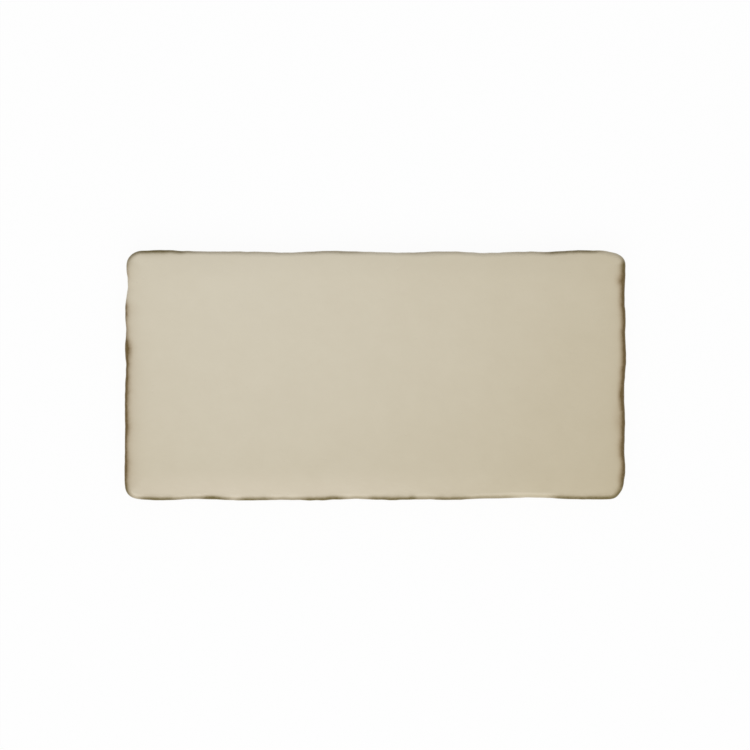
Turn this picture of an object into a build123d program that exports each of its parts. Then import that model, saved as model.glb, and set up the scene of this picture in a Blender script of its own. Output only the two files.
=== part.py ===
"""Handmade glazed wall tile, 150 x 75 mm: one pressed and fired piece of clay.

The tile lies on its back. +X runs along its length, +Y across its width and +Z out of its
glazed face. The origin is at the middle of the back. All sizes are in millimetres.
"""

import math
import os

from build123d import *

# Overall sizes. The waves of the edges only ever lie inside this length and width.
LENGTH = 150.0
WIDTH = 75.0
RIM_HEIGHT = 8.5  # back to where the face would meet an unrounded edge

# The four sides lean in from the shoulder to the back, so the tile leaves its mould. A narrow
# band between the shoulder and the rolled arris stands upright.
DRAFT_ANGLE = 4.0  # degrees
BAND_HEIGHT = 0.6

# The face is a shallow cushion that rolls over into the sides.
CUSHION_RISE = 0.7  # how far the middle of the face stands above its rim
CUSHION_MARGIN_ENDS = 14.0  # width of the falling strip along each short side
CUSHION_MARGIN_SIDES = 9.0  # width of the falling strip along each long side
ROLL_RADIUS = 1.7  # rounding of the arris between face and sides
BACK_CHAMFER = 0.6  # worn arris between the back and the sides
CUSHION_GRID = 2.5  # spacing of the points that the cushion's surface runs through
CUSHION_TOLERANCE = 0.005  # how closely it keeps to them
CUSHION_OVERHANG = 3.0  # how far that surface reaches past the clay before it is trimmed

# Each side's hand-made wave: (place along the side's run, depth inside the overall size). Long
# sides run from left to right and short sides from bottom to top, seen from the face. A longer
# side repeats its wave, and a shorter one cuts it off, so the waves never get steeper.
TOP_WAVE = [
    (0.0, 0.1), (7.0, 0.0), (15.0, 0.4), (26.5, 0.6), (36.0, 0.8), (44.5, 1.1), (52.5, 0.45),
    (61.0, 0.4), (69.0, 0.8), (77.5, 1.15), (84.5, 0.85), (92.5, 0.55), (99.5, 1.1),
    (108.0, 1.0), (115.0, 0.6), (120.5, 0.75), (128.5, 0.15), (138.4, 0.1),
]  # fmt: skip
BOTTOM_WAVE = [
    (0.0, 0.15), (7.0, 0.1), (15.5, 0.6), (25.0, 0.2), (33.5, 0.05), (43.0, 0.22), (54.0, 0.05),
    (64.0, 0.62), (73.5, 0.15), (85.0, 0.45), (92.0, 0.2), (100.0, 0.65), (108.5, 0.9),
    (117.0, 1.15), (126.5, 0.6), (139.1, 0.45),
]  # fmt: skip
LEFT_WAVE = [
    (0.0, 0.05), (8.0, 0.04), (20.0, 0.04), (29.5, 0.08), (37.0, 0.33), (41.5, 0.08),
    (46.0, 0.38), (53.5, 0.15), (60.0, 1.0), (65.9, 0.55),
]  # fmt: skip
RIGHT_WAVE = [
    (0.0, 0.4), (3.0, 0.25), (8.5, 0.6), (17.0, 0.38), (27.5, 0.75), (37.0, 0.0), (43.5, 0.3),
    (48.5, 0.2), (56.0, 0.62), (61.5, 0.25), (64.9, 0.25),
]  # fmt: skip
LEAST_WAVE = 4.0  # a point of a wave nearer than this to its side's end is left out

# Rounding of each corner in plan: (radius along X, radius along Y).
TOP_LEFT_CORNER = (5.2, 4.7)
TOP_RIGHT_CORNER = (6.4, 4.4)
BOTTOM_RIGHT_CORNER = (5.4, 5.7)
BOTTOM_LEFT_CORNER = (5.5, 4.4)

# The back has pairs of lengthwise keying grooves, with a land between each and the next.
GROOVE_WIDTH = 6.0
GROOVE_DEPTH = 0.9
GROOVE_DRAFT = 30.0  # degrees that the groove's walls lean outwards
LAND_WIDTH = 3.6
BACK_BORDER = 10.0  # least plain border between a groove and the tile's overall size


def wave_points(start, end, inward, wave):
    """The wave's points on the run from start to end, each its own depth inwards."""
    start, run, inward = Vector(start), Vector(end) - Vector(start), Vector(inward)
    wave_length, last_depth = wave[-1]
    places = []
    for repeat in range(math.ceil(run.length / wave_length)):
        for place, depth in wave[:-1]:
            if repeat * wave_length + place < run.length - LEAST_WAVE:
                places.append((repeat * wave_length + place, depth))
    places.append((run.length, last_depth))
    return [start + run.normalized() * place + inward * depth for place, depth in places]


def wavy_outline(length, width):
    """Draws the tile's closed outline in plan: four waving sides joined by rounded corners."""
    right, top = length / 2, width / 2
    tl, tr, br, bl = TOP_LEFT_CORNER, TOP_RIGHT_CORNER, BOTTOM_RIGHT_CORNER, BOTTOM_LEFT_CORNER
    top_side = wave_points((-right + tl[0], top), (right - tr[0], top), (0, -1), TOP_WAVE)
    bottom_side = wave_points((-right + bl[0], -top), (right - br[0], -top), (0, 1), BOTTOM_WAVE)
    left_side = wave_points((-right, -top + bl[1]), (-right, top - tl[1]), (1, 0), LEFT_WAVE)
    right_side = wave_points((right, -top + br[1]), (right, top - tr[1]), (-1, 0), RIGHT_WAVE)

    for side, along in (
        (top_side, (1, 0)),
        (bottom_side, (1, 0)),
        (left_side, (0, 1)),
        (right_side, (0, 1)),
    ):
        Spline(*side, tangents=[along, along])

    # Each corner is a quarter of an ellipse, tangent to the two sides that it joins.
    for x_end, y_end, first_angle in (
        (right_side[-1], top_side[-1], 0),
        (left_side[-1], top_side[0], 90),
        (left_side[0], bottom_side[0], 180),
        (right_side[0], bottom_side[-1], 270),
    ):
        EllipticalCenterArc(
            (y_end.X, x_end.Y),
            abs(x_end.X - y_end.X),
            abs(y_end.Y - x_end.Y),
            start_angle=first_angle,
            arc_size=90,
        )


def cushion_height(x, y):
    """Height of the face above the back: level in the middle, falling near all four sides."""
    rise = 1.0
    for distance, margin in (
        (LENGTH / 2 - abs(x), CUSHION_MARGIN_ENDS),
        (WIDTH / 2 - abs(y), CUSHION_MARGIN_SIDES),
    ):
        share = min(1.0, max(0.0, distance / margin))
        rise *= math.sin(share * math.pi / 2)
    return RIM_HEIGHT + CUSHION_RISE * rise


def cushion_face():
    """The face's own surface, wider than the tile all round so that it cuts right through."""
    reach_x, reach_y = LENGTH / 2 + CUSHION_OVERHANG, WIDTH / 2 + CUSHION_OVERHANG
    columns = round(2 * reach_x / CUSHION_GRID)
    rows = round(2 * reach_y / CUSHION_GRID)
    xs = [-reach_x + 2 * reach_x * i / columns for i in range(columns + 1)]
    ys = [-reach_y + 2 * reach_y * j / rows for j in range(rows + 1)]
    return Face.make_surface_from_array_of_points(
        [[(x, y, cushion_height(x, y)) for y in ys] for x in xs], tol=CUSHION_TOLERANCE
    )


with BuildPart() as tile:
    # The clay's sides: the drafted wall, then an upright band up to above the face.
    shoulder_height = RIM_HEIGHT - ROLL_RADIUS - BAND_HEIGHT
    draft_inset = shoulder_height * math.tan(math.radians(DRAFT_ANGLE))
    with BuildSketch(Plane.XY):
        with BuildLine():
            wavy_outline(LENGTH - 2 * draft_inset, WIDTH - 2 * draft_inset)
        make_face()
    with BuildSketch(Plane.XY.offset(shoulder_height)) as shoulder:
        with BuildLine():
            wavy_outline(LENGTH, WIDTH)
        make_face()
    loft()
    extrude(shoulder.sketch, amount=RIM_HEIGHT + 2 * CUSHION_RISE - shoulder_height)

    # The face: everything above the cushion is cut away, and the arris is rolled over.
    split(bisect_by=cushion_face(), keep=Keep.BOTTOM)
    fillet(tile.faces().sort_by(Axis.Z)[-1].edges(), radius=ROLL_RADIUS)
    chamfer(tile.faces().sort_by(Axis.Z)[0].edges(), length=BACK_CHAMFER)

    # The back: lengthwise keying grooves, in pairs either side of the middle land.
    pitch = GROOVE_WIDTH + LAND_WIDTH
    pairs = int((WIDTH - 2 * BACK_BORDER + LAND_WIDTH) // (2 * pitch))
    with BuildSketch(Plane.XY):
        with GridLocations(0, pitch, 1, 2 * pairs):
            SlotOverall(LENGTH - 2 * BACK_BORDER, GROOVE_WIDTH)
    extrude(amount=GROOVE_DEPTH, taper=GROOVE_DRAFT, mode=Mode.SUBTRACT)

tile.part.label = "tile"
os.makedirs("parts", exist_ok=True)
export_step(tile.part, "parts/tile.step")
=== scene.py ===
"""Looks of a handmade glazed wall tile: one pressed piece of clay, dipped in a cream glaze and fired.

The tile lies on its back on a pale floor and is seen from straight above. Its mesh is built in
millimetres round the outline of the frame's own solid, and is turned to metres when it is made.
"""

import logging
import math
from dataclasses import dataclass, field
from enum import Enum
from typing import Any, Callable, Sequence

import bpy
import numpy as np
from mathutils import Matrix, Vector
from mathutils.geometry import delaunay_2d_cdt


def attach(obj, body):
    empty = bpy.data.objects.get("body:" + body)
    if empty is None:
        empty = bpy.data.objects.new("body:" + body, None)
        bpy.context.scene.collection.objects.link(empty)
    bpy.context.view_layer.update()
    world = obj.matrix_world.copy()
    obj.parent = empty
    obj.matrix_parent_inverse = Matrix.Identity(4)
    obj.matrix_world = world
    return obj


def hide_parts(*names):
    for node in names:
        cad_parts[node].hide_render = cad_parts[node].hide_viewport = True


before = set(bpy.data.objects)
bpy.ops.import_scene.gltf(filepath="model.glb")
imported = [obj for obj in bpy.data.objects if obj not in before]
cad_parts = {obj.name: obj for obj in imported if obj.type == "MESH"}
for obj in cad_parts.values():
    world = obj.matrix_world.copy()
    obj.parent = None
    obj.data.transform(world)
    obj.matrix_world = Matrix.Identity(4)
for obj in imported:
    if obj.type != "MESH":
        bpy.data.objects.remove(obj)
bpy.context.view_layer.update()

logging.basicConfig(level=logging.INFO, format="%(message)s")
LOG = logging.getLogger("handmade_tile")

MM = 0.001  # metres in a millimetre
PHOTO_WIDTH = 750  # pixels
MM_PER_PIXEL = 150.0 / 502.3  # the tile's length in the photograph
TILE_MIDDLE = (375.5, 375.35)  # the tile's middle in the photograph, in pixels
WHITE = (1.0, 1.0, 1.0, 1.0)

Tree = bpy.types.NodeTree
Socket = bpy.types.NodeSocket
Array = np.ndarray
Heights = Callable[[Array], Array]  # a surface's height at each point in plan
FourSides = tuple[float, float, float, float]  # one value each for left, right, top and bottom


class Finish(Enum):
    """The two finishes that the one piece of clay shows, as its mesh's material numbers."""

    GLAZE = 0
    BARE_CLAY = 1


class Side(Enum):
    """The tile's four sides, each with its outward direction in plan."""

    LEFT = (-1.0, 0.0)
    RIGHT = (1.0, 0.0)
    TOP = (0.0, 1.0)
    BOTTOM = (0.0, -1.0)


def linear(hex_colour: str) -> tuple[float, float, float, float]:
    """Turns an sRGB hex colour into the linear colour that a shader takes.

    Args:
        hex_colour: six hex digits after a hash sign.

    Returns:
        Linear red, green, blue and an alpha of one.
    """
    channels = [int(hex_colour[i : i + 2], 16) / 255 for i in (1, 3, 5)]
    red, green, blue = [
        c / 12.92 if c <= 0.04045 else ((c + 0.055) / 1.055) ** 2.4 for c in channels
    ]
    return red, green, blue, 1.0


def add_node(
    tree: Tree,
    kind: str,
    inputs: dict[Any, Any] | None = None,
    stops: Sequence[tuple[float, Any]] = (),
    **settings: Any,
) -> bpy.types.Node:
    """Adds one node to a tree, with its settings, its input values and its links.

    Args:
        tree: the material's or the world's node tree.
        kind: the node's type without its "ShaderNode" beginning.
        inputs: for each input, by name or number, a value or another node's output to link.
        stops: a colour ramp's stops, each a position and an sRGB hex colour or a grey level.
        settings: the node's own properties.

    Returns:
        The new node.
    """
    node = tree.nodes.new("ShaderNode" + kind)
    for name, value in settings.items():
        setattr(node, name, value)
    for key, value in (inputs or {}).items():
        if isinstance(value, Socket):
            tree.links.new(value, node.inputs[key])
        else:
            node.inputs[key].default_value = value
    for i, (position, shade) in enumerate(stops):
        ready = node.color_ramp.elements
        stop = ready[i] if i < 2 else ready.new(position)
        stop.position = position
        stop.color = linear(shade) if isinstance(shade, str) else (shade, shade, shade, 1.0)
    return node


def calculate(tree: Tree, operation: str, *values: Any, clamp: bool = False) -> Socket:
    """Does one sum on numbers or sockets, and may keep its result between 0 and 1."""
    inputs = dict(enumerate(values))
    return add_node(tree, "Math", inputs, operation=operation, use_clamp=clamp).outputs[0]


def noise(tree: Tree, place: Socket, scale: float, detail: float, roughness: float) -> Socket:
    """Gives soft noise from 0 to 1, with its scale in clouds to the metre."""
    inputs = {"Vector": place, "Scale": scale, "Detail": detail, "Roughness": roughness}
    return add_node(tree, "TexNoise", inputs).outputs["Fac"]


def cells(tree: Tree, place: Socket, scale: float) -> Any:
    """Gives the outputs of a pattern of random cells, with its scale in cells to the metre."""
    inputs = {"Vector": place, "Scale": scale, "Randomness": 1.0}
    return add_node(tree, "TexVoronoi", inputs).outputs


def ramp(tree: Tree, value: Socket, stops: Sequence[tuple[float, Any]]) -> Socket:
    """Turns a value into a colour by a ramp's stops."""
    return add_node(tree, "ValToRGB", {"Fac": value}, stops).outputs["Color"]


def eased(tree: Tree, value: Socket, start: float, full: float, most: float = 1.0) -> Socket:
    """Eases a value from 0, where it is at start, to most, where it is at full."""
    inputs = {"Value": value, "From Min": start, "From Max": full, "To Max": most}
    return add_node(tree, "MapRange", inputs, interpolation_type="SMOOTHSTEP").outputs["Result"]


def mix(tree: Tree, factor: Any, base: Any, over: Any, **settings: Any) -> Socket:
    """Mixes one colour over another, each a socket or an sRGB hex colour."""
    base, over = (linear(c) if isinstance(c, str) else c for c in (base, over))
    inputs = {"Factor": factor, "A": base, "B": over}
    return add_node(tree, "Mix", inputs, data_type="RGBA", **settings).outputs["Result"]


def bump(tree: Tree, height: Socket, strength: float, depth: float, **under: Socket) -> Socket:
    """Presses a pattern into the surface, its depth in metres, on top of an earlier Normal."""
    inputs = {"Height": height, "Strength": strength, "Distance": depth, **under}
    return add_node(tree, "Bump", inputs).outputs["Normal"]


def new_material(name: str) -> tuple[bpy.types.Material, Tree]:
    """Makes an empty material and gives it together with its node tree."""
    material = bpy.data.materials.new(name)
    material.use_nodes = True
    material.node_tree.nodes.clear()
    return material, material.node_tree


def smoothstep(low: float, high: float, value: Array | float) -> Array:
    """Eases each value from 0 at low to 1 at high."""
    share = np.clip((value - low) / (high - low), 0.0, 1.0)
    return share * share * (3.0 - 2.0 * share)


@dataclass(frozen=True)
class Unevenness:
    """Smooth seeded unevenness over the tile's plan.

    Attributes:
        seed: seed of the random directions and phases.
        shortest: shortest wave, in millimetres.
        longest: longest wave, in millimetres.
        size: root mean square of the unevenness.
        count: how many waves are added up.
    """

    seed: int
    shortest: float
    longest: float
    size: float = 1.0
    count: int = 28

    def at(self, plan: Array) -> Array:
        """Adds up the waves.

        Args:
            plan: points, in plan, in millimetres.

        Returns:
            One value for each point.
        """
        rng = np.random.default_rng(self.seed)
        length = np.exp(rng.uniform(np.log(self.shortest), np.log(self.longest), self.count))
        turn = rng.uniform(0.0, 2.0 * np.pi, self.count)
        phase = rng.uniform(0.0, 2.0 * np.pi, self.count)
        weight = np.sqrt(length / self.longest)
        total = np.zeros(len(plan))
        for wave in range(self.count):
            along = plan[:, 0] * np.cos(turn[wave]) + plan[:, 1] * np.sin(turn[wave])
            total += weight[wave] * np.cos(2.0 * np.pi * along / length[wave] + phase[wave])
        return self.size * (total / np.sqrt(0.5 * np.sum(weight**2)))


@dataclass
class HandFormedOutline:
    """The tile's plan outline, read from the upright band of the frame's own solid.

    Attributes:
        node: the frame's node.
        band: the band's lowest and highest level above the back, in millimetres.
        count: how many evenly spaced points the traced outline has.
        closest: points of the solid nearer than this to the last are left out, in millimetres.
        corner_blend: how far one side's values run on round its corners, in millimetres.
        handling: root mean square of the fine unevenness that handling left, in millimetres.
        filled: share of the hollows that the glaze filled.
        unfilled: depth of hollow, in millimetres, down to which it filled nothing.
        deepest: depth below that, in millimetres, beyond which it filled no more.
        worn_corners: place, reach and depth of each flat rubbed on a corner, in millimetres.
        points: the traced outline, anticlockwise, in millimetres.
        outward: the outline's outward directions.
        spacing: mean distance from one of its points to the next, in millimetres.
    """

    node: str = "tile"
    band: tuple[float, float] = (6.199, 6.85)
    count: int = 1320
    closest: float = 0.2
    corner_blend: float = 1.2
    handling: float = 0.034
    filled: FourSides = (0.12, 0.25, 0.42, 0.3)
    unfilled: float = 0.15
    deepest: float = 0.9
    worn_corners: tuple[tuple[tuple[float, float], float, float], ...] = (
        ((73.4, -33.2), 2.2, 0.5),
        ((71.2, 36.7), 2.1, 0.34),
        ((-70.7, -36.9), 1.6, 0.24),
        ((-72.1, 36.7), 1.6, 0.22),
    )
    points: Array = field(init=False)
    outward: Array = field(init=False)
    spacing: float = field(init=False)

    def trace(self) -> None:
        """Reads the band's corners, runs a smooth closed line through them and wears it."""
        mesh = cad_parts[self.node].data
        corners = np.array([v.co[:] for v in mesh.vertices]) / MM
        low, high = self.band
        ring = corners[(corners[:, 2] > low) & (corners[:, 2] < high), :2]
        # A tile is about twice as long as it is wide, so Y is doubled to space the angles evenly.
        ring = ring[np.argsort(np.arctan2(ring[:, 1] * 2.0, ring[:, 0]))]
        kept = [ring[0]]
        for corner in ring[1:]:
            if np.hypot(*(corner - kept[-1])) > self.closest:
                kept.append(corner)
        if np.hypot(*(kept[-1] - kept[0])) < self.closest:
            kept.pop()
        dense = self._smooth_line(np.array(kept), self.count * 4)
        even = self._smooth_line(dense, self.count)
        self.follow(even)
        uneven = Unevenness(15, 2.2, 7.0).at(even)
        moved = self.handling * (np.minimum(uneven, 1.0) - 1.0)
        for side, filled in zip(Side, self.filled):
            reach = even @ np.array(side.value)
            hollow = np.clip(reach.max() - reach - self.unfilled, 0.0, self.deepest)
            moved += self.share(side) ** 2 * filled * hollow
        for place, reach, depth in self.worn_corners:
            moved -= depth * np.exp(-0.5 * np.sum(((even - place) / reach) ** 2, axis=1))
        self.follow(even + self.outward * moved[:, None])

    def follow(self, line: Array) -> None:
        """Takes a closed line as the outline and works out its directions and its spacing.

        Args:
            line: the line's points, anticlockwise.
        """
        self.points = line
        ahead = np.roll(line, -2, axis=0) - np.roll(line, 2, axis=0)
        ahead /= np.linalg.norm(ahead, axis=1)[:, None]
        self.outward = np.column_stack((ahead[:, 1], -ahead[:, 0]))
        steps = np.linalg.norm(np.roll(line, -1, axis=0) - line, axis=1)
        self.spacing = float(np.mean(np.diff(np.cumsum(steps), prepend=0.0)[:-1]))

    @staticmethod
    def _smooth_line(knots: Array, count: int) -> Array:
        """Runs a closed cubic through the knots and returns evenly spaced points on it.

        Args:
            knots: the points that the line runs through, in order.
            count: how many points to return.

        Returns:
            The evenly spaced points.
        """
        gap = np.linalg.norm(np.roll(knots, -1, axis=0) - knots, axis=1)
        slope = (np.roll(knots, -1, axis=0) - knots) / gap[:, None]
        before, after = np.roll(gap, 1)[:, None], gap[:, None]
        tangent = (after * np.roll(slope, 1, axis=0) + before * slope) / (before + after)
        start = np.concatenate(([0.0], np.cumsum(gap)))
        place = np.linspace(0.0, start[-1], count, endpoint=False)
        span = np.clip(np.searchsorted(start, place, side="right") - 1, 0, len(knots) - 1)
        follow = (span + 1) % len(knots)
        t = ((place - start[span]) / gap[span])[:, None]
        width = gap[span][:, None]
        return (
            (2 * t**3 - 3 * t**2 + 1) * knots[span]
            + (t**3 - 2 * t**2 + t) * width * tangent[span]
            + (3 * t**2 - 2 * t**3) * knots[follow]
            + (t**3 - t**2) * width * tangent[follow]
        )

    def inside(self, inset: Array) -> Array:
        """The outline's points, each moved in by its own inset."""
        return self.points - self.outward * inset[:, None]

    def rounded(self, values: Array, reach: float) -> Array:
        """Averages values along the outline with a bell-shaped weight.

        Args:
            values: one value for each outline point.
            reach: the bell's standard deviation, in millimetres.

        Returns:
            The averaged values.
        """
        half = int(3 * reach / self.spacing)
        weights = np.exp(-0.5 * (np.arange(-half, half + 1) * self.spacing / reach) ** 2)
        padded = np.concatenate((values[-half:], values, values[:half]))
        return np.convolve(padded, weights / weights.sum(), mode="valid")

    def share(self, side: Side) -> Array:
        """How far each outline point belongs to a side: 1 along it, fading round its corners."""
        facing_x = self.rounded(self.outward[:, 0], self.corner_blend)
        facing_y = self.rounded(self.outward[:, 1], self.corner_blend)
        along = facing_x * side.value[0] + facing_y * side.value[1]
        return np.maximum(along, 0.0) ** 2 / (facing_x**2 + facing_y**2)

    def by_side(self, values: FourSides) -> Array:
        """Gives each outline point its side's value, blended smoothly round the corners."""
        return sum(self.share(side) * value for side, value in zip(Side, values))


@dataclass(frozen=True)
class PressMark:
    """A small press mark in or near the rolled arris, where the glaze ran thin.

    Attributes:
        place: where it is in plan, in millimetres from the tile's middle.
        reach: its standard deviations along the tile and across it, in millimetres.
        depth: how deep it dips, in millimetres.
        bareness: how much thinner the glaze is in it, from 0 to 1.
    """

    place: tuple[float, float]
    reach: tuple[float, float]
    depth: float
    bareness: float

    def near(self, plan: Array) -> Array:
        """How near each point is to the mark, from 1 at its middle to 0 far away."""
        return np.exp(-0.5 * np.sum(((plan - self.place) / self.reach) ** 2, axis=1))


@dataclass
class ArrisWearAndShade:
    """How the glaze ran thin over the arris, with painted shade of its roll, and where it was pressed,
    all along the outline.

    Sizes are in millimetres. The dark lines are stretches of each side's arris, from left to right
    or from bottom to top: (place along the side, thinness of the glaze with painted shade there).

    Attributes:
        outline: the traced outline.
        dark_lines: each side's dark line.
        line_widths: how far in the dark line reaches.
        line_falls: how steeply the dark line fades at its inner side.
        shade_halos: darkness of the soft strip inside the dark line, painted shade with thinner glaze.
        shade_halo_widths: how far in the soft strip reaches.
        marks: the press marks.
        core: darkness right at the edge, thin glaze with painted shade, at each outline point.
        core_width: the dark line's width there.
        core_fall: its fall there.
        shade_halo: the soft strip's darkness there, painted shade with thinner glaze.
        shade_halo_width: its width there.
    """

    outline: HandFormedOutline
    dark_lines: dict[Side, tuple[tuple[float, float], ...]] = field(
        default_factory=lambda: {
            Side.TOP: (
                (-73, 0.75), (-66, 1.0), (-58, 0.9), (-53, 0.45), (-38, 0.4), (-23, 0.32),
                (-18, 0.55), (-7, 0.55), (-2, 0.22), (8, 0.2), (12, 0.36), (25, 0.34), (28, 0.15),
                (39, 0.15), (43, 0.36), (49, 0.4), (53, 0.85), (65, 0.85), (69, 0.2),
            ),
            Side.BOTTOM: (
                (-71.5, 0.3), (-69, 0.95), (-62, 0.95), (-58, 0.58), (-53, 0.58), (-51, 0.95),
                (-45, 0.85), (-42.5, 0.4), (-39.5, 0.9), (-33, 0.9), (-30, 0.58), (-23, 0.58),
                (-20, 0.95), (-11, 0.95), (-8, 0.5), (-3, 0.5), (-1, 0.9), (11, 0.95), (13, 0.6),
                (17, 0.6), (19, 0.85), (26, 0.85), (29, 0.58), (40, 0.5), (43, 0.14),
                (51, 0.14), (55, 0.85), (70, 1.0),
            ),
            Side.LEFT: (
                (-37, 0.9), (-33, 0.9), (-25, 0.85), (-7, 0.95), (3, 0.9), (9, 0.9), (12, 0.45),
                (16, 0.45), (18, 0.7), (21, 0.65), (23, 0.08), (28, 0.06), (30, 0.4), (34, 0.5),
            ),
            Side.RIGHT: ((-34, 0.8), (-30, 1.0), (33, 1.0), (36, 0.5)),
        }
    )
    line_widths: FourSides = (1.05, 1.5, 0.92, 1.15)
    line_falls: FourSides = (1.6, 2.4, 2.8, 2.6)
    shade_halos: FourSides = (0.5, 0.16, 0.07, 0.1)
    shade_halo_widths: FourSides = (2.1, 1.9, 1.0, 1.0)
    marks: tuple[PressMark, ...] = (
        PressMark((72.9, 28.2), (0.8, 1.2), 0.16, 0.4),
        PressMark((73.1, -5.8), (0.55, 1.5), 0.08, 0.24),
        PressMark((72.2, -13.4), (0.9, 2.6), 0.05, 0.16),
        PressMark((-73.7, 7.6), (0.8, 1.8), 0.14, 0.45),
        PressMark((-48.9, -36.3), (1.4, 0.5), 0.08, 0.25),
        PressMark((-66.0, 36.3), (3.6, 0.7), 0.05, 0.15),
        PressMark((3.0, -36.2), (0.8, 0.4), 0.04, 0.12),
        PressMark((11.0, -36.0), (0.8, 0.5), 0.04, 0.15),
    )
    core: Array = field(init=False)
    core_width: Array = field(init=False)
    core_fall: Array = field(init=False)
    shade_halo: Array = field(init=False)
    shade_halo_width: Array = field(init=False)

    def work_out(self) -> None:
        """Works out the wear and the painted shade at each outline point: a stronger line is also a wider
        one.
        """
        line = self.outline
        uneven = 1.0 + Unevenness(31, 3.0, 14.0, 0.035).at(line.points)
        self.core = np.zeros(line.count)
        for side, dark_line in self.dark_lines.items():
            places, thinness_and_shade = zip(*dark_line)
            lengthwise = side in (Side.TOP, Side.BOTTOM)
            place = line.points[:, 0 if lengthwise else 1]
            self.core += line.share(side) * np.interp(place, places, thinness_and_shade)
        self.core = np.clip(line.rounded(self.core, 0.5) * (0.5 + 0.5 * uneven), 0.0, 1.0)
        self.core_width = line.by_side(self.line_widths) * (0.5 + 0.55 * self.core) * uneven
        self.core_fall = line.by_side(self.line_falls)
        # The soft strip inside the dark line is painted shade of the rolled edge, together with thinner
        # glaze.
        self.shade_halo = line.by_side(self.shade_halos) * uneven * (0.25 + 0.85 * self.core)
        self.shade_halo_width = line.by_side(self.shade_halo_widths)

    def thinness_and_shade(self, plan: Array, inset: Array | float, at: Any = slice(None)) -> Array:
        """How thin the glaze ran, with painted shade of the rolled edge added in, from 0 on the face to 1
        where the clay shows through.

        Args:
            plan: points, in plan.
            inset: their distances inside the outline.
            at: the outline points that they are measured from.

        Returns:
            One value of thinness and painted shade for each point.
        """
        # Thin glaze and painted shade of the rolled edge, added up.
        near_edge = self.core[at] * np.exp(-((inset / self.core_width[at]) ** self.core_fall[at]))
        far_edge = self.shade_halo[at] * np.exp(-inset / self.shade_halo_width[at])
        pressed = sum(mark.bareness * mark.near(plan) for mark in self.marks)
        return np.clip(near_edge + far_edge + pressed, 0.0, 1.0)

    def sunk(self, plan: Array) -> Array:
        """How far the press marks lower the surface at the given points, in plan."""
        return sum(mark.depth * mark.near(plan) for mark in self.marks)


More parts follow.
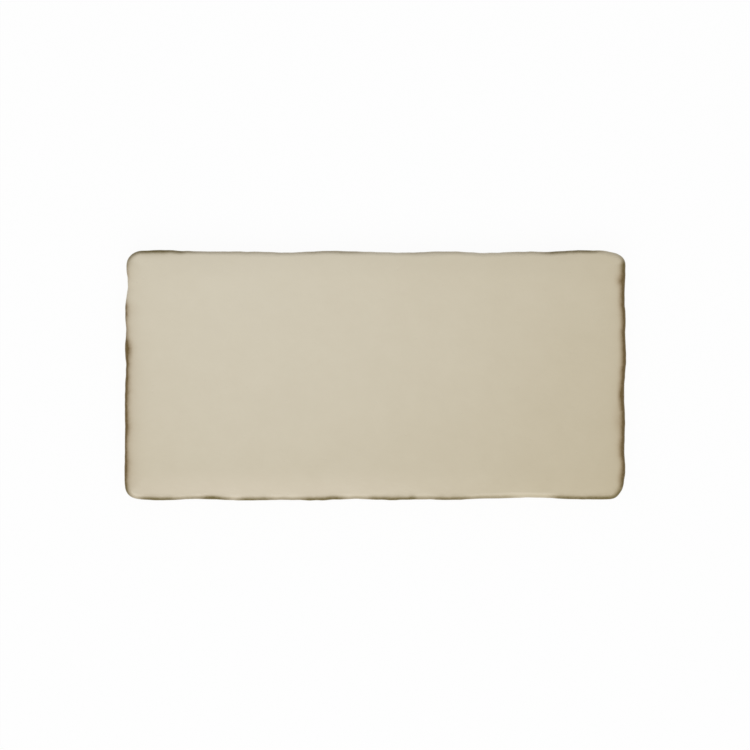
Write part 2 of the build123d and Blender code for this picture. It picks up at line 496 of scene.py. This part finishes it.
@dataclass
class GlazedTile:
    """The whole tile: cushioned face, rolled arris, glazed and bare sides and grooved back.

    All sizes are in millimetres.

    Attributes:
        outline: the traced plan outline.
        half_size: half of the overall length and of the overall width.
        rim_height: level at which the roll ends and the cushion begins.
        roll_height: height of the rolled arris.
        roll_reach: how far in the roll reaches from each side.
        roll_steps: strips of faces over the roll.
        foot_thinness_and_shade: share of the arris's thin glaze and painted shade still there at the
            roll's foot.
        foot_angle: slope of the roll's foot, in radians from upright, over which it recovers.
        foot_recovery: how fast it recovers down the side from there.
        cushion_rise: rise of the face from its rim to its middle.
        cushion_margins: widths of the rising strips along the short and the long sides.
        apron: width of the strip of rings round the face, from the outline inwards.
        apron_least: least part of that strip that lies inside the roll.
        apron_shares: places of that part's rings, from 1 at its inner edge to 0 at the roll.
        shoulder: level of the top of the drafted wall.
        draft: lean of the sides, in degrees.
        glaze_line: highest mean level at which the glaze stops on the sides.
        glaze_limits: lowest and highest level at which it may stop.
        glaze_rounding: reach of the averaging that rounds that line.
        glaze_step: how far the glaze stands out from the bare clay where it stops.
        wall_sag: how far the glazed wall is hollow at its middle height.
        wall_steps: strips of faces over the glazed wall.
        bead_height: height above the glaze's edge at which its thick bead begins.
        bead: the bead's profile, as heights above the glaze's edge and how far out they stand.
        clay_tuck: how far the bare clay begins below the glaze's edge.
        clay_steps: strips of faces over the bare clay.
        back_round: rounding of the arris between the sides and the back.
        back_turns: places of the rings over that rounding, in degrees.
        groove_width: width of a keying groove.
        groove_depth: depth of a keying groove.
        groove_pitch: distance from one groove's middle to the next.
        groove_reach: half of the straight part of a groove's length.
        groove_pairs: pairs of grooves, one of each pair either side of the middle.
        groove_wall: where its sloping wall ends and begins, outwards from its outline.
        groove_lines: the lines of points along its wall, outwards from its outline.
        groove_clear: the strip round its outline that is kept free of the grid's points.
        groove_points: numbers of points along each straight part and round each end of a line.
        grid: spacing of the points inside the face and the back.
        wear_and_shade: the wear of the arris, with the painted shade of its roll.
        points: blocks of mesh points, each a row of its place, how thin the glaze is with painted
            shade added, how thick it pooled, and the surface's normal, or zeros where that is left to the
            faces.
        faces: the mesh's faces, as numbers of points.
        finishes: each face's finish.
    """

    outline: HandFormedOutline
    half_size: tuple[float, float] = (75.0, 37.5)
    rim_height: float = 8.5
    roll_height: float = 1.7
    roll_reach: FourSides = (2.3, 2.3, 1.5, 1.5)
    roll_steps: int = 14
    foot_thinness_and_shade: float = 0.3
    foot_angle: float = 0.5
    foot_recovery: float = 6.0
    cushion_rise: float = 0.57
    cushion_margins: tuple[float, float] = (14.0, 9.0)
    apron: float = 2.8
    apron_least: float = 0.4
    apron_shares: tuple[float, ...] = (1.0, 0.66, 0.33)
    shoulder: float = 6.2
    draft: float = 4.0
    glaze_line: float = 3.1
    glaze_limits: tuple[float, float] = (1.3, 4.9)
    glaze_rounding: float = 0.7
    glaze_step: float = 0.22
    wall_sag: float = 0.05
    wall_steps: int = 9
    bead_height: float = 0.9
    bead: tuple[tuple[float, float], ...] = (
        (0.6, 0.07), (0.35, 0.1), (0.15, 0.06), (0.03, -0.04), (0.0, -0.16)
    )
    clay_tuck: float = 0.02
    clay_steps: int = 6
    back_round: float = 0.6
    back_turns: tuple[float, ...] = (25.0, 50.0, 70.0, 90.0)
    groove_width: float = 6.0
    groove_depth: float = 0.9
    groove_pitch: float = 9.6
    groove_reach: float = 62.0
    groove_pairs: int = 3
    groove_wall: tuple[float, float] = (-0.62, 0.12)
    groove_lines: tuple[float, ...] = (0.3, 0.12, -0.06, -0.25, -0.44, -0.62, -0.85)
    groove_clear: tuple[float, float] = (-1.3, 0.75)
    groove_points: tuple[int, int] = (84, 15)
    grid: float = 1.15
    wear_and_shade: ArrisWearAndShade = field(init=False)
    points: list[Array] = field(default_factory=list)
    faces: list[tuple[int, ...]] = field(default_factory=list)
    finishes: list[int] = field(default_factory=list)

    def face_height(self, plan: Array) -> Array:
        """Height of the glazed face above the back: a cushion, pressed a little uneven by hand.

        Args:
            plan: points, in plan.

        Returns:
            One height for each point.
        """
        share = np.clip((self.half_size - np.abs(plan)) / self.cushion_margins, 0.0, 1.0)
        rise_x, rise_y = np.sin(share * np.pi / 2).T
        rise = rise_x * rise_y
        pressed = Unevenness(11, 22.0, 70.0, 0.045).at(plan)
        brushed = Unevenness(12, 3.5, 9.0, 0.006).at(plan)
        return self.rim_height + self.cushion_rise * rise + pressed * rise + brushed

    def back_height(self, plan: Array) -> Array:
        """Height of the back's surface, never below 0: rough lands and the floors of the grooves.

        Args:
            plan: points, in plan.

        Returns:
            One height for each point.
        """
        outside = smoothstep(*self.groove_wall, self.groove_distance(plan))
        rough = np.abs(Unevenness(21, 1.6, 6.0, 0.022).at(plan))
        return self.groove_depth * (1.0 - outside) + rough

    def groove_distance(self, plan: Array) -> Array:
        """Distance from each point to the nearest groove's outline, negative inside the groove.

        Args:
            plan: points, in plan.

        Returns:
            One distance for each point.
        """
        beyond = np.maximum(np.abs(plan[:, 0]) - self.groove_reach, 0.0)
        away = [np.hypot(beyond, plan[:, 1] - middle) for middle in self.groove_middles()]
        return np.min(away, axis=0) - self.groove_width / 2

    def groove_middles(self) -> list[float]:
        """Places of the grooves' middles across the tile."""
        count = 2 * self.groove_pairs
        return [self.groove_pitch * (i - (count - 1) / 2) for i in range(count)]

    def ring_points(self, ring: int) -> Array:
        """The places of the ring whose first point has the given number."""
        return np.vstack(self.points)[ring : ring + self.outline.count, :3]

    def wall_inset(self, height: Array | float) -> Array | float:
        """How far the drafted wall stands inside the outline at the given height."""
        return np.maximum(self.shoulder - height, 0.0) * math.tan(math.radians(self.draft))

    def add_points(
        self,
        plan: Array,
        height: Array | float,
        thin_and_shade: Array | float = 0.0,
        pool: Array | float = 0.0,
        normals: Array | None = None,
    ) -> int:
        """Adds points to the mesh.

        Args:
            plan: the points, in plan.
            height: their heights above the back.
            thin_and_shade: how thin the glaze is at each, with painted shade of the rolled edge added in.
            pool: how thick the glaze pooled at each.
            normals: the surface's normal at each, where they aren't left to the faces.

        Returns:
            The number of the first point added.
        """
        first = sum(len(block) for block in self.points)
        none = np.zeros(len(plan))
        if normals is None:
            normals = np.zeros((len(plan), 3))
        self.points.append(np.column_stack((plan, none + height, none + thin_and_shade, none + pool, normals)))
        return first

    def join_rings(self, rings: list[tuple[int, Finish]]) -> None:
        """Joins each ring to the next by a strip of four-sided faces.

        Args:
            rings: each ring's first point and the finish of the strip above it, from the top.
        """
        count = self.outline.count
        for (upper, _), (lower, finish) in zip(rings, rings[1:]):
            for i in range(count):
                j = (i + 1) % count
                self.faces.append((upper + i, lower + i, lower + j, upper + j))
                self.finishes.append(finish.value)

    def fill(
        self,
        ring: int,
        inner: Array,
        loops: list[Array],
        height: Heights,
        finish: Finish,
        thin_and_shade: Array | float = 0.0,
        sunk: Array | float = 0.0,
    ) -> None:
        """Fills a ring with triangles through a set of inner points.

        Args:
            ring: the first point of the ring to fill.
            inner: loose inner points, in plan.
            loops: closed inner lines that the triangles keep to, in plan.
            height: gives the inner points' heights.
            finish: the triangles' finish. Glazed ones look up, and bare ones down.
            thin_and_shade: thinness of the glaze at the inner points, with painted shade added in.
            sunk: how far the inner points lie below their height.
        """
        upwards = finish is Finish.GLAZE
        count = self.outline.count
        plan = [self.ring_points(ring)[:, :2], inner, *loops]
        lines, start = [], 0
        for block in plan:
            if block is not inner:
                lines += [(start + i, start + (i + 1) % len(block)) for i in range(len(block))]
            start += len(block)
        flat = [Vector(p) for p in np.vstack(plan)]
        made = delaunay_2d_cdt(flat, lines, [], 1, 1e-6, True)
        numbers = [ids[0] for ids in made[3]]
        added = np.vstack(plan[1:])
        normals = self.slope_normals(added, height, upwards)
        first = self.add_points(added, height(added) - sunk, thin_and_shade, normals=normals)
        for face in made[2]:
            row = [numbers[k] for k in face]
            # Three corners on the ring that run the other way round it fill a hollow outside it.
            if max(row) < count and sum(a < b for a, b in zip(row, row[1:] + row[:1])) != 2:
                continue
            row = [ring + k if k < count else first + k - count for k in row]
            self.faces.append(tuple(row if upwards else row[::-1]))
            self.finishes.append(finish.value)

    @staticmethod
    def slope_normals(plan: Array, height: Heights, upwards: bool) -> Array:
        """Works out the surface's normals from its slopes, free of the triangles' pattern.

        Args:
            plan: the points, in plan.
            height: gives the surface's heights.
            upwards: whether the surface looks up.

        Returns:
            One unit normal for each point.
        """
        step = 0.05
        slopes = [
            (height(plan + aside) - height(plan - aside)) / (2 * step)
            for aside in (np.array([step, 0.0]), np.array([0.0, step]))
        ]
        normal = np.column_stack((-slopes[0], -slopes[1], np.ones(len(plan))))
        normal /= np.linalg.norm(normal, axis=1)[:, None]
        return normal if upwards else -normal

    def inner_grid(self, ring: int, clear: float) -> tuple[Array, Array, Array]:
        """Makes an even grid of plan points inside a ring.

        Args:
            ring: the first point of the ring.
            clear: least distance from the ring.

        Returns:
            The grid's points, the number of the outline point nearest to each, and their
            distances inside the ring.
        """
        edge = self.ring_points(ring)[:, :2]
        low, high = edge.min(axis=0), edge.max(axis=0)
        columns, rows = ((high - low) / self.grid).astype(int)
        xs = np.linspace(low[0], high[0], columns + 1)
        ys = np.linspace(low[1], high[1], rows + 1)
        grid = np.array([(x, y) for x in xs for y in ys])
        nearest = [
            np.argmin(np.sum((block[:, None] - edge) ** 2, axis=2), axis=1)
            for block in np.array_split(grid, 40)
        ]
        nearest = np.concatenate(nearest)
        inset = np.sum((edge[nearest] - grid) * self.outline.outward[nearest], axis=1)
        inside = inset > clear
        return grid[inside], nearest[inside], inset[inside]

    def build_face(self) -> int:
        """Builds the glazed face and the rolled arris.

        Returns:
            The first point of the roll's lowest ring.
        """
        line, wear_and_shade = self.outline, self.wear_and_shade
        roll = line.by_side(self.roll_reach) * (1.0 + Unevenness(41, 8.0, 30.0, 0.08).at(line.points))
        roll = np.minimum(roll, self.apron - self.apron_least)
        rings = []
        for share in self.apron_shares:
            inset = roll + (self.apron - roll) * share
            plan = line.inside(inset)
            height = self.face_height(plan) - wear_and_shade.sunk(plan)
            normals = self.slope_normals(plan, self.face_height, True)
            rings.append(self.add_points(plan, height, wear_and_shade.thinness_and_shade(plan, inset), normals=normals))
        for step in range(self.roll_steps + 1):
            angle = math.pi / 2 * (1.0 - step / self.roll_steps)
            inset = roll * (1.0 - math.cos(angle))
            plan = line.inside(inset)
            rolled = self.roll_height * (1.0 - math.sin(angle)) + wear_and_shade.sunk(plan) * math.sin(angle)
            # Thin glaze and painted shade of the arris are kept whole up the roll and only in part at its
            # foot.
            recovered = smoothstep(0.0, self.foot_angle, angle)
            kept = self.foot_thinness_and_shade + (1.0 - self.foot_thinness_and_shade) * recovered
            thin_and_shade = wear_and_shade.thinness_and_shade(plan, inset) * kept
            rings.append(self.add_points(plan, self.face_height(plan) - rolled, thin_and_shade))
        self.join_rings([(ring, Finish.GLAZE) for ring in rings])
        grid, nearest, inset = self.inner_grid(rings[0], clear=0.6)
        thin_and_shade = wear_and_shade.thinness_and_shade(grid, inset + self.apron, nearest)
        self.fill(rings[0], grid, [], self.face_height, Finish.GLAZE, thin_and_shade, wear_and_shade.sunk(grid))
        return rings[-1]

    def build_sides(self, roll_foot: int) -> int:
        """Builds the glazed and the bare part of the sides and the rounded arris to the back.

        Args:
            roll_foot: the first point of the roll's lowest ring.

        Returns:
            The first point of the ring where the back begins.
        """
        line = self.outline
        top = self.ring_points(roll_foot)[:, 2]
        stop = self.glaze_line - np.abs(Unevenness(51, 14.0, 60.0, 0.5).at(line.points))
        stop += Unevenness(52, 4.0, 9.0, 0.12).at(line.points)
        stop = line.rounded(np.clip(stop, *self.glaze_limits), self.glaze_rounding)
        sag = self.wall_sag * (1.0 + Unevenness(53, 5.0, 20.0, 0.5).at(line.points))
        # The arris's thin glaze and painted shade run on down the glazed wall and fade.
        foot_thin_and_shade = self.wear_and_shade.thinness_and_shade(line.points, 0.0) * self.foot_thinness_and_shade
        rings = [(roll_foot, Finish.GLAZE)]
        for step in range(1, self.wall_steps + 1):
            share = step / self.wall_steps
            height = top + (stop + self.bead_height - top) * share
            plan = line.inside(self.wall_inset(height) + sag * math.sin(share * math.pi))
            thin_and_shade = foot_thin_and_shade * math.exp(-share * self.foot_recovery)
            rings.append((self.add_points(plan, height, thin_and_shade, share**3), Finish.GLAZE))
        # The glaze ends in a soft thick bead that stands out from the clay and turns under.
        for drop, out in self.bead:
            plan = line.inside(np.maximum(self.wall_inset(stop + drop) - out, 0.0))
            rings.append((self.add_points(plan, stop + drop, pool=1.0), Finish.GLAZE))
        clay = self.glaze_step + np.abs(Unevenness(54, 1.5, 5.0, 0.05).at(line.points))
        for step in range(self.clay_steps + 1):
            height = stop - self.clay_tuck + (self.back_round - stop) * step / self.clay_steps
            rough = Unevenness(60 + step, 1.5, 6.0, 0.03).at(line.points)
            plan = line.inside(self.wall_inset(height) + clay + rough)
            rings.append((self.add_points(plan, height), Finish.BARE_CLAY))
        foot = self.wall_inset(self.back_round) + clay
        for turn in np.radians(self.back_turns):
            plan = line.inside(foot + self.back_round * (1.0 - math.cos(turn)))
            height = self.back_round * (1.0 - math.sin(turn))
            rings.append((self.add_points(plan, height), Finish.BARE_CLAY))
        self.join_rings(rings)
        return rings[-1][0]

    def build_back(self, foot: int) -> None:
        """Builds the back with its keying grooves.

        Args:
            foot: the first point of the ring where the back begins.
        """
        grid, _, _ = self.inner_grid(foot, clear=0.7)
        gap = self.groove_distance(grid)
        inmost, outmost = self.groove_clear
        grid = grid[(gap > outmost) | (gap < inmost)]
        along, around = self.groove_points
        runs = np.linspace(-self.groove_reach, self.groove_reach, along)
        turn = np.linspace(-math.pi / 2, math.pi / 2, around + 2)[1:-1]
        rounding = np.column_stack((np.cos(turn), np.sin(turn)))
        loops = []
        for middle in self.groove_middles():
            for out in self.groove_lines:
                radius = self.groove_width / 2 + out
                right = (self.groove_reach, middle) + radius * rounding
                left = (-self.groove_reach, middle) - radius * rounding
                lower = np.column_stack((runs, np.full(len(runs), middle - radius)))
                upper = np.column_stack((runs[::-1], np.full(len(runs), middle + radius)))
                loops.append(np.vstack((lower, right, upper, left)))
        self.fill(foot, grid, loops, self.back_height, Finish.BARE_CLAY)

    def make(self) -> bpy.types.Object:
        """Builds the mesh, dresses it and puts it in place of the frame's node.

        Returns:
            The finished piece.
        """
        self.outline.trace()
        self.wear_and_shade = ArrisWearAndShade(self.outline)
        self.wear_and_shade.work_out()
        roll_foot = self.build_face()
        self.build_back(self.build_sides(roll_foot))
        mesh = bpy.data.meshes.new("glazed_tile")
        points = np.vstack(self.points)
        mesh.from_pydata((points[:, :3] * MM).tolist(), [], self.faces)
        mesh.polygons.foreach_set("material_index", self.finishes)
        mesh.polygons.foreach_set("use_smooth", [True] * len(self.faces))
        for name, column in (("glaze_thinness_and_shade", 3), ("glaze_pooling", 4)):
            layer = mesh.attributes.new(name, "FLOAT", "POINT")
            layer.data.foreach_set("value", points[:, column].astype(np.float32))
        mesh.update()
        mesh.validate()
        mesh.normals_split_custom_set_from_vertices(points[:, 5:].tolist())
        piece = bpy.data.objects.new("glazed_tile", mesh)
        bpy.context.scene.collection.objects.link(piece)
        for finish in (TinGlaze(), PressedEarthenware()):
            mesh.materials.append(finish.make())
        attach(piece, "root")
        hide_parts(self.outline.node)
        return piece


@dataclass(frozen=True)
class TinGlaze:
    """Opaque cream glaze, dipped and fired to a soft gloss over brown clay.

    It gives the eye a calm creamy tone that drifts across the face, a soft broad highlight, and
    a break to brown wherever it ran thin over an arris. That brown also holds painted shade of the
    rolled edges, and a paler strip along one long edge is painted light.

    Attributes:
        cream: the glaze's own colour where it lies thick.
        shade: the darker tone that it drifts to at the lower right.
        palest_place: where the glaze is palest, in millimetres.
        drift_stretch: how much faster it darkens along each axis.
        drift_reach: distance from that place at which it is darkest, in millimetres.
        drift_curve: how much slower it darkens near that place than far from it.
        painted_light: the paler tone painted along one long edge, as light from the lamp beyond it.
        painted_light_band: places across the tile where that starts and is full, in millimetres.
        painted_light_share: how much of that tone it takes.
        mottle_levels: grey levels of the mottling, each with its place in the noise.
        break_and_shade_tones: clay tones showing through thin glaze, with painted shade, each with its
            thinness.
        olive: the clay's tone along the two long sides.
        smoked_band: distances from the middle where that starts and is full, in millimetres.
        smoked_share: how much of that tone it takes.
        pooled: the colour it has in the thick bead at its lower edge.
        pooled_share: how much of that colour it takes.
    """

    cream: str = "#D3C9B2"
    shade: str = "#BAAC8D"
    painted_light: str = "#DDCDB8"
    palest_place: tuple[float, float, float] = (-44.0, 27.0, 0.0)
    drift_stretch: tuple[float, float, float] = (1.0, 1.35, 0.0)
    drift_reach: float = 170.0
    drift_curve: float = 1.8
    painted_light_band: tuple[float, float] = (-26.0, -36.0)
    painted_light_share: float = 0.5
    mottle_levels: tuple[tuple[float, float], ...] = ((0.3, 0.84), (0.7, 0.92))
    break_and_shade_tones: tuple[tuple[float, str], ...] = ((0.0, "#926F33"), (0.5, "#7D5D24"), (1.0, "#6A562E"))
    olive: str = "#70673A"
    smoked_band: tuple[float, float] = (29.0, 36.0)
    smoked_share: float = 0.6
    pooled: str = "#C9BE9F"
    pooled_share: float = 0.7

    def body_colour(self, tree: Tree, place: Socket) -> Socket:
        """Works out the colour of the glaze where it lies thick, with a painted light along one long edge.

        Args:
            tree: the node tree to add to.
            place: the shaded point's place, in metres.

        Returns:
            The colour.
        """
        # The glaze is palest round one place at the upper left and darkens away from it, with
        # clouds of a few centimetres in that drift.
        away = place
        for operation, by in (
            ("SUBTRACT", tuple(c * MM for c in self.palest_place)),
            ("MULTIPLY", self.drift_stretch),
        ):
            away = add_node(tree, "VectorMath", {0: away, 1: by}, operation=operation).outputs[0]
        away = add_node(tree, "VectorMath", {0: away}, operation="LENGTH").outputs["Value"]
        cloud = noise(tree, place, scale=30.0, detail=2.0, roughness=0.5)
        drift = calculate(tree, "MULTIPLY_ADD", cloud, 0.024, away)
        drift = add_node(tree, "MapRange", {"Value": drift, "From Max": self.drift_reach * MM})
        drift = calculate(tree, "POWER", drift.outputs["Result"], self.drift_curve)
        body = mix(tree, drift, self.cream, self.shade)

        # Painted light: the strip along the long edge at -Y is painted a little paler, as if lit by the
        # lamp beyond that side, most at the end where the glaze is pale anyway.
        across = add_node(tree, "SeparateXYZ", {0: place}).outputs["Y"]
        painted_light = eased(tree, across, *(c * MM for c in self.painted_light_band), self.painted_light_share)
        paler = calculate(tree, "MULTIPLY_ADD", drift, -1.6, 1.0, clamp=True)
        body = mix(tree, calculate(tree, "MULTIPLY", painted_light, paler), body, self.painted_light)

        # Mottling of a few millimetres, from the glaze's uneven thickness.
        mottle = noise(tree, place, scale=160.0, detail=3.0, roughness=0.55)
        mottle = ramp(tree, mottle, self.mottle_levels)
        return mix(tree, 0.35, body, mottle, blend_type="SOFT_LIGHT")

    def make(self) -> bpy.types.Material:
        """Makes the glaze.

        Returns:
            The material.
        """
        material, tree = new_material("tin_glaze_dipped_fired")
        place = add_node(tree, "TexCoord").outputs["Object"]
        # The thinness attribute holds the glaze's thinness together with painted shade of the rolled edge.
        thin_and_shade, pool = (
            add_node(tree, "Attribute", attribute_type="GEOMETRY", attribute_name=name).outputs["Fac"]
            for name in ("glaze_thinness_and_shade", "glaze_pooling")
        )
        # The break to brown over the arris, thin glaze together with painted shade of the rolled
        # edge, is frayed by a fine noise.
        fray = noise(tree, place, scale=900.0, detail=3.0, roughness=0.6)
        fray = calculate(tree, "MULTIPLY_ADD", fray, 0.5, 0.77)
        worn_and_shaded = calculate(tree, "MULTIPLY", thin_and_shade, fray, clamp=True)
        brown = ramp(tree, worn_and_shaded, self.break_and_shade_tones)
        # Along the two long sides the clay took more of the kiln's smoke and shows more olive.
        across = add_node(tree, "SeparateXYZ", {0: place}).outputs["Y"]
        across = calculate(tree, "ABSOLUTE", across)
        smoked = eased(tree, across, *(c * MM for c in self.smoked_band), self.smoked_share)
        brown = mix(tree, smoked, brown, self.olive)
        pool = calculate(tree, "MULTIPLY", pool, self.pooled_share)
        body = mix(tree, pool, self.body_colour(tree, place), self.pooled)

        # A soft gloss, a little duller where the glaze ran thin.
        smear = noise(tree, place, scale=90.0, detail=4.0, roughness=0.6)
        dull = calculate(tree, "MULTIPLY_ADD", worn_and_shaded, 0.22, 0.24)
        gloss = calculate(tree, "MULTIPLY_ADD", worn_and_shaded, -0.3, 0.3, clamp=True)

        # Orange peel of about 1.5 mm in the glaze, and a sparse scatter of closed pinholes.
        peel = noise(tree, place, scale=620.0, detail=2.0, roughness=0.5)
        peel = bump(tree, peel, strength=0.35, depth=0.00012)
        pit = eased(tree, cells(tree, place, scale=260.0)["Distance"], start=0.03, full=0.1)
        shader = add_node(
            tree,
            "BsdfPrincipled",
            {
                "Base Color": mix(tree, worn_and_shaded, body, brown),
                "Roughness": calculate(tree, "MULTIPLY_ADD", smear, 0.12, dull),
                "IOR": 1.5,
                "Specular IOR Level": 0.3,
                "Coat Weight": gloss,
                "Coat Roughness": 0.12,
                "Coat IOR": 1.5,
                "Normal": bump(tree, pit, strength=0.25, depth=0.00015, Normal=peel),
            },
        )
        add_node(tree, "OutputMaterial", {"Surface": shader.outputs["BSDF"]})
        return material


@dataclass(frozen=True)
class PressedEarthenware:
    """Bare earthenware, pressed by hand in a mould and fired once.

    It gives the eye a dry, mottled buff with fine grit and open pores.

    Attributes:
        cloud_tones: the clay's tones, each with its place in the clouds of colour.
        grain_tones: the tones of its grit, each with its place in the random order of grains.
        grit_share: how much of its own tone a grain shows at its middle.
    """

    cloud_tones: tuple[tuple[float, str], ...] = ((0.28, "#8E7150"), (0.72, "#CDB793"), (0.5, "#B1936B"))
    grain_tones: tuple[tuple[float, str], ...] = ((0.0, "#6F573B"), (0.45, "#A98C66"), (0.9, "#D9C6A4"))
    grit_share: float = 0.55

    def make(self) -> bpy.types.Material:
        """Makes the bare clay.

        Returns:
            The material.
        """
        material, tree = new_material("earthenware_pressed_bisque")
        place = add_node(tree, "TexCoord").outputs["Object"]
        cloud = noise(tree, place, scale=70.0, detail=5.0, roughness=0.6)

        # Grit of about half a millimetre, pale and dark.
        grit = cells(tree, place, scale=1300.0)
        speck = eased(tree, grit["Distance"], start=0.12, full=0.3)
        cover = calculate(tree, "MULTIPLY_ADD", speck, -self.grit_share, self.grit_share)
        grain = add_node(tree, "SeparateColor", {"Color": grit["Color"]}).outputs["Red"]
        grain = ramp(tree, grain, self.grain_tones)

        # Pores of a few tenths of a millimetre over a coarser pressed grain.
        coarse = noise(tree, place, scale=420.0, detail=6.0, roughness=0.7)
        coarse = bump(tree, coarse, strength=0.7, depth=0.0003)
        shader = add_node(
            tree,
            "BsdfPrincipled",
            {
                "Base Color": mix(tree, cover, ramp(tree, cloud, self.cloud_tones), grain),
                "Roughness": 0.92,
                "IOR": 1.45,
                "Specular IOR Level": 0.25,
                "Normal": bump(tree, speck, strength=0.4, depth=0.0002, Normal=coarse),
            },
        )
        add_node(tree, "OutputMaterial", {"Surface": shader.outputs["BSDF"]})
        return material


@dataclass
class PhotoStudio:
    """The pale floor, the soft light beyond the tile's lower long side and the camera above.

    Attributes:
        floor_size: side of the floor, in metres.
        floor_drop: how far the floor lies below the tile's back, in metres.
        floor_tone: the floor's own colour.
        floor_white: share of plain white in the floor, the rest being lit by the lamps.
        back_gap: length of ray, in metres, up to which the floor lets light through to the back.
        world_light: strength of the even light from all round.
        key_energy: power of the soft lamp, in watts.
        key_size: side of the soft lamp, in metres.
        key_place: place of the soft lamp, in metres.
        camera_distance: distance from the camera to the tile's rim, in metres.
        sensor: width of the camera's sensor, in millimetres.
    """

    floor_size: float = 8.0
    floor_drop: float = 2e-5
    floor_tone: str = "#F4F4F4"
    floor_white: float = 0.95
    back_gap: float = 0.0015
    world_light: float = 0.6
    key_energy: float = 26.0
    key_size: float = 2.2
    key_place: tuple[float, float, float] = (-0.2, -1.5, 1.9)
    camera_distance: float = 1.5
    sensor: float = 36.0

    def make_floor(self) -> None:
        """Lays the pale floor, which shows white and keeps the tile's soft shadow."""
        half = self.floor_size / 2
        mesh = bpy.data.meshes.new("floor")
        corners = [(x * half, y * half, -self.floor_drop) for x, y in ((-1, -1), (1, -1), (1, 1), (-1, 1))]
        mesh.from_pydata(corners, [], [(0, 1, 2, 3)])
        floor = bpy.data.objects.new("floor", mesh)
        bpy.context.scene.collection.objects.link(floor)
        material, tree = new_material("pale_floor_matt")
        lit = add_node(tree, "BsdfDiffuse", {"Color": linear(self.floor_tone)}).outputs[0]
        white = add_node(tree, "Emission", {"Color": WHITE, "Strength": 1.0}).outputs[0]
        share = calculate(tree, "MULTIPLY", self.seen_directly(tree), self.floor_white)
        top = add_node(tree, "MixShader", {0: share, 1: lit, 2: white}).outputs[0]
        # The floor is clear from below, so that the tile's back can be seen, and to rays that
        # leave the back itself, so that light reaches it.
        clear = add_node(tree, "BsdfTransparent").outputs[0]
        below = add_node(tree, "NewGeometry").outputs["Backfacing"]
        length = add_node(tree, "LightPath").outputs["Ray Length"]
        under = calculate(tree, "LESS_THAN", length, self.back_gap)
        open_to = calculate(tree, "MAXIMUM", below, under)
        both = add_node(tree, "MixShader", {0: open_to, 1: top, 2: clear}).outputs[0]
        add_node(tree, "OutputMaterial", {"Surface": both})
        mesh.materials.append(material)

    @staticmethod
    def seen_directly(tree: Tree) -> Socket:
        """Gives 1 for rays from the camera and for mirrored and clear-seen ones, and else 0.

        Args:
            tree: the node tree to add to.

        Returns:
            The output socket with the answer.
        """
        path = add_node(tree, "LightPath").outputs
        seen = calculate(tree, "MAXIMUM", path["Is Camera Ray"], path["Is Glossy Ray"])
        return calculate(tree, "MAXIMUM", seen, path["Is Transmission Ray"])

    def make_light(self) -> None:
        """Sets up the even light from all round and the soft lamp beyond the lower long side."""
        world = bpy.data.worlds.new("studio")
        bpy.context.scene.world = world
        world.use_nodes = True
        tree = world.node_tree
        tree.nodes.clear()
        levels = {"Value": self.seen_directly(tree), "To Min": self.world_light, "To Max": 1.0}
        level = add_node(tree, "MapRange", levels).outputs["Result"]
        back = add_node(tree, "Background", {"Color": WHITE, "Strength": level})
        add_node(tree, "OutputWorld", {"Surface": back.outputs[0]})
        lamp = bpy.data.lights.new("soft_lamp", "AREA")
        lamp.energy = self.key_energy
        lamp.shape = "SQUARE"
        lamp.size = self.key_size
        key = bpy.data.objects.new("soft_lamp", lamp)
        key.location = self.key_place
        key.rotation_mode = "QUATERNION"
        key.rotation_quaternion = (-Vector(self.key_place)).to_track_quat("-Z", "Y")
        bpy.context.scene.collection.objects.link(key)

    def make_camera(self, rim: float) -> None:
        """Puts the camera straight above the tile, at the photograph's framing.

        Args:
            rim: height of the rim of the tile's face, in metres.
        """
        data = bpy.data.cameras.new("camera")
        data.sensor_width = self.sensor
        data.lens = self.sensor * self.camera_distance / (PHOTO_WIDTH * MM_PER_PIXEL * MM)
        data.clip_start = 0.05
        data.clip_end = 20.0
        camera = bpy.data.objects.new("camera", data)
        aside = (PHOTO_WIDTH / 2 - TILE_MIDDLE[0]) * MM_PER_PIXEL * MM
        ahead = (TILE_MIDDLE[1] - PHOTO_WIDTH / 2) * MM_PER_PIXEL * MM
        camera.location = (aside, ahead, rim + self.camera_distance)
        bpy.context.scene.collection.objects.link(camera)
        bpy.context.scene.camera = camera


def main() -> None:
    """Builds the tile, the floor, the light and the camera."""
    bpy.context.scene.view_settings.view_transform = "Standard"
    tile = GlazedTile(HandFormedOutline())
    piece = tile.make()
    piece.data.calc_loop_triangles()
    LOG.info("%s: %d triangles", piece.name, len(piece.data.loop_triangles))
    studio = PhotoStudio()
    studio.make_floor()
    studio.make_light()
    studio.make_camera(tile.rim_height * MM)
    LOG.info("floor, light and camera")
    bpy.context.view_layer.update()


if __name__ == "__main__":
    main()
